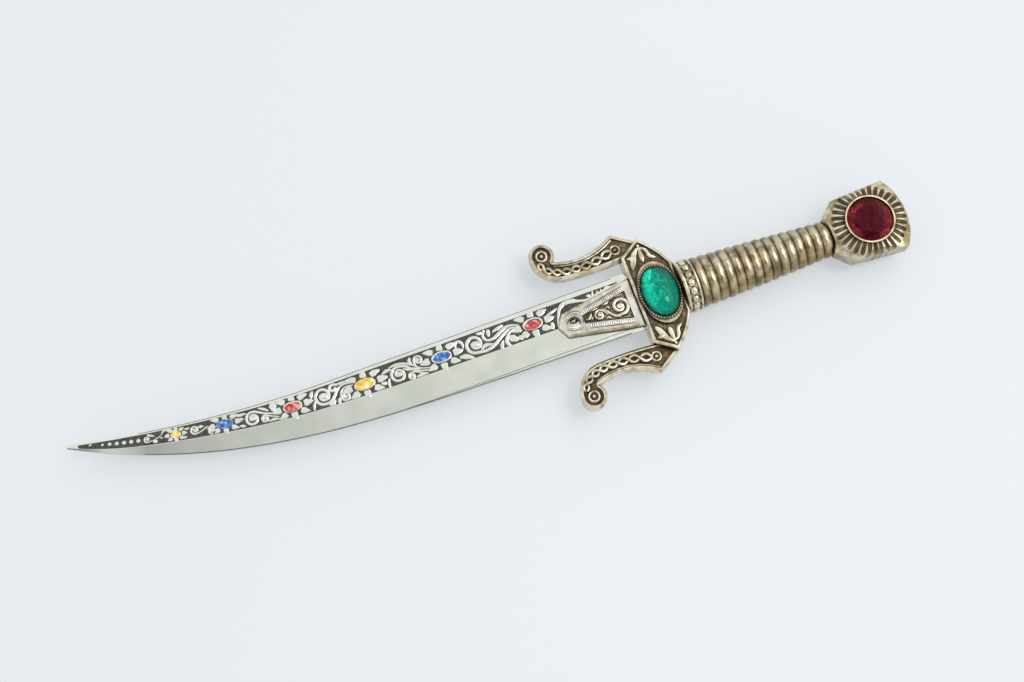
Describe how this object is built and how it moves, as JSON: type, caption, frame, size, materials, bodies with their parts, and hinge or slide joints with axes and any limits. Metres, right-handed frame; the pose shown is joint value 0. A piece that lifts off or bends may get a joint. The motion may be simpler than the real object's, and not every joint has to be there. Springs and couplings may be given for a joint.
{
  "type": "letter opener",
  "caption": "Letter opener like a small curved dagger: etched steel blade, hooked crossguard with an oval green stone, ribbed gilt grip and fluted pommel with a red stone.",
  "frame": {"origin": "middle of the whole length and of the guard's span, at the height of the ferrule's two lowest beads", "axes": "+X along the grip from the blade's tip to the pommel's butt, +Y across the guard to the side that the blade curves to, +Z out of the jewelled face"},
  "size_m": [0.2206, 0.0458, 0.0141],
  "materials": {
    "blade_steel": "satin polished",
    "black_ground": "matt black fill",
    "enamel_red": "glossy enamel",
    "enamel_blue": "glossy enamel",
    "enamel_yellow": "glossy enamel",
    "zinc_steel": "zinc plated",
    "antique_gold": "antiqued plating, dark in the hollows",
    "langet_silver": "plated, dark in the hollows",
    "green_glass": "polished",
    "red_glass": "polished facets",
    "mirror_foil": "crackled foil"
  },
  "bodies": {
    "root": {"blade": "blade_steel", "etched_ground_front": "black_ground", "etched_ground_back": "black_ground", "enamel_red": "enamel_red", "enamel_blue": "enamel_blue", "enamel_yellow": "enamel_yellow", "tang_rod": "zinc_steel", "grip_washer": "zinc_steel", "grip_nut": "zinc_steel", "crossguard": "antique_gold", "guard_shell_front": "antique_gold", "guard_shell_back": "antique_gold", "langet_front": "langet_silver", "langet_back": "langet_silver", "cabochon": "green_glass", "cabochon_foil": "mirror_foil", "cabochon_bezel": "antique_gold", "ferrule": "antique_gold", "grip": "antique_gold", "pommel": "antique_gold", "red_stone": "red_glass", "red_stone_foil": "mirror_foil", "red_stone_bezel": "antique_gold"}
  },
  "joints": []
}
